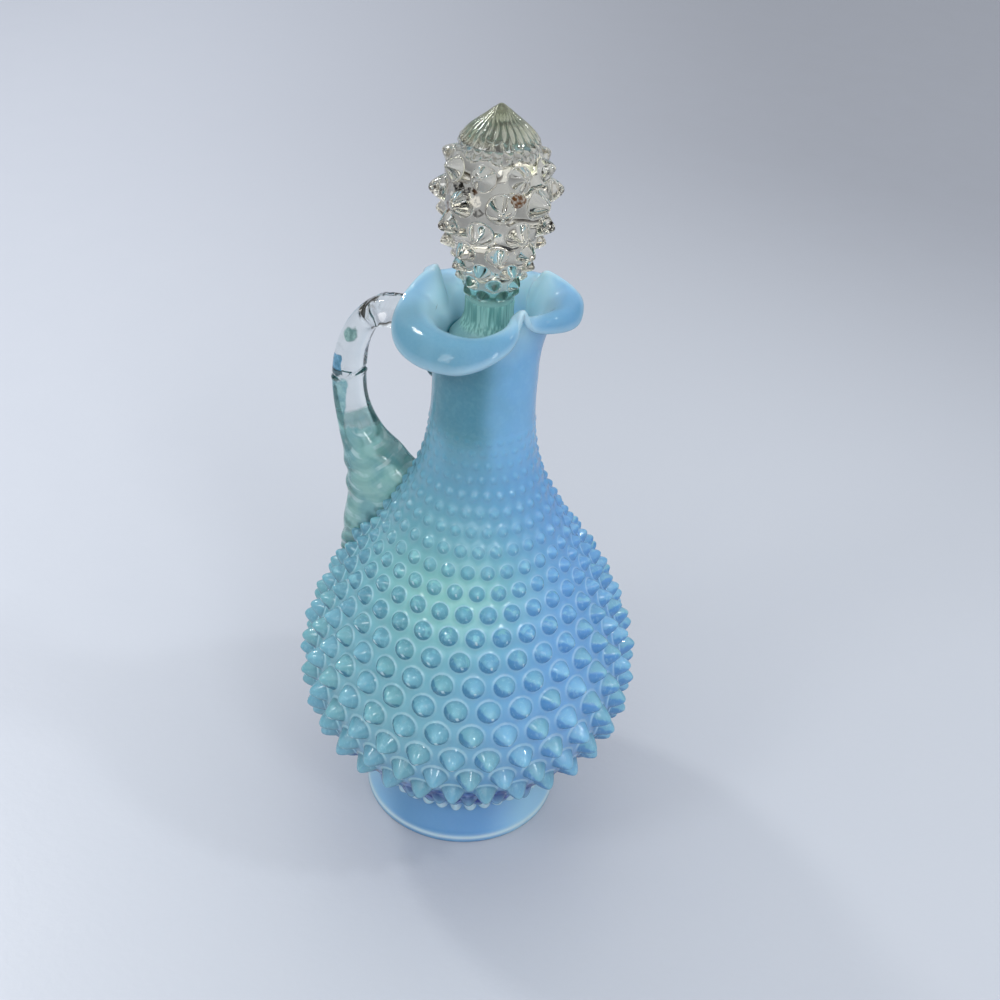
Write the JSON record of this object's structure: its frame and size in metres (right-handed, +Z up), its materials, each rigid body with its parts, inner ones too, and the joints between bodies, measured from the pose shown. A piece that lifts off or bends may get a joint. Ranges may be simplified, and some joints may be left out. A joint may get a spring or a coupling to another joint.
{
  "type": "decanter",
  "caption": "Hobnail glass decanter with a pear body, flared foot, crimped lobed rim, applied loop handle and a solid hobnail stopper that lifts out of the neck.",
  "frame": {"origin": "centre of the foot ring on the surface the decanter stands on, on the axis of the bottle", "axes": "+Z up along the bottle's axis; the handle is on the -X side and the pouring lobe of the rim is near +X"},
  "size_m": [0.1376, 0.1384, 0.305],
  "materials": {
    "opal_blue_glass": "blue opalescent glass, fire-polished, milky on raised edges and deeper teal blue where it is thin",
    "clear_glass_handle": "clear colourless glass, fire-polished, hand-drawn",
    "clear_glass_stopper": "clear pressed glass, polished hobs, finely ground plug"
  },
  "bodies": {
    "bottle": {"foot": "opal_blue_glass", "belly_lower": "opal_blue_glass", "belly_upper": "opal_blue_glass", "shoulder": "opal_blue_glass", "neck_rim": "opal_blue_glass", "handle": "clear_glass_handle"},
    "stopper": {"stopper": "clear_glass_stopper"}
  },
  "joints": [
    {"name": "stopper_lift", "type": "slide", "parent": "bottle", "child": "stopper", "axis": [0, 0, 1], "range_m": [0, 0.08]}
  ]
}
